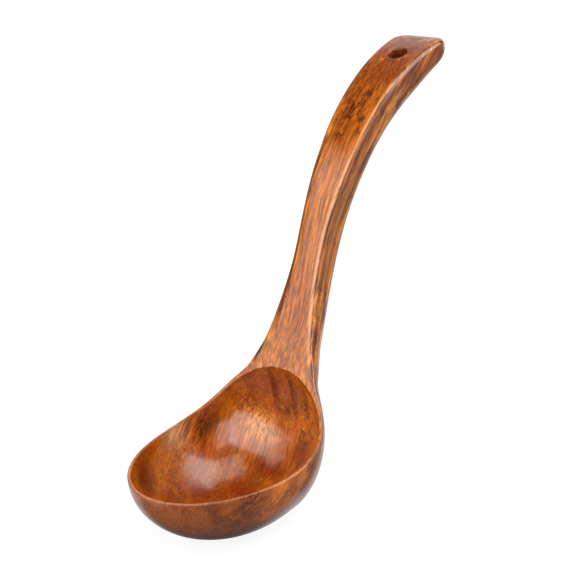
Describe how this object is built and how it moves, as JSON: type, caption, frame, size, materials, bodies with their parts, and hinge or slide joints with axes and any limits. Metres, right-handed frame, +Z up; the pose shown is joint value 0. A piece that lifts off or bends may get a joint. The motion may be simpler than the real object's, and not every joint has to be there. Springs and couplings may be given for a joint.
{
  "type": "soup ladle",
  "caption": "Carved wooden soup ladle with a deep egg-shaped bowl, a long curved flat-faced handle that flares at the root and bends back at the top, and a hanging hole.",
  "frame": {"origin": "on the ground under the middle of the ladle, midway between the tip of the bowl and the end of the handle", "axes": "+X across the ladle to the right as the user looks from the bowl's tip toward the handle, +Y from the bowl's tip toward the handle's end, +Z up, with the rim of the bowl level"},
  "size_m": [0.076, 0.2074, 0.1888],
  "materials": {
    "wood": "clear lacquer, glossy, reddish brown with darker streaks"
  },
  "bodies": {
    "root": {"bowl": "wood", "handle": "wood"}
  },
  "joints": []
}
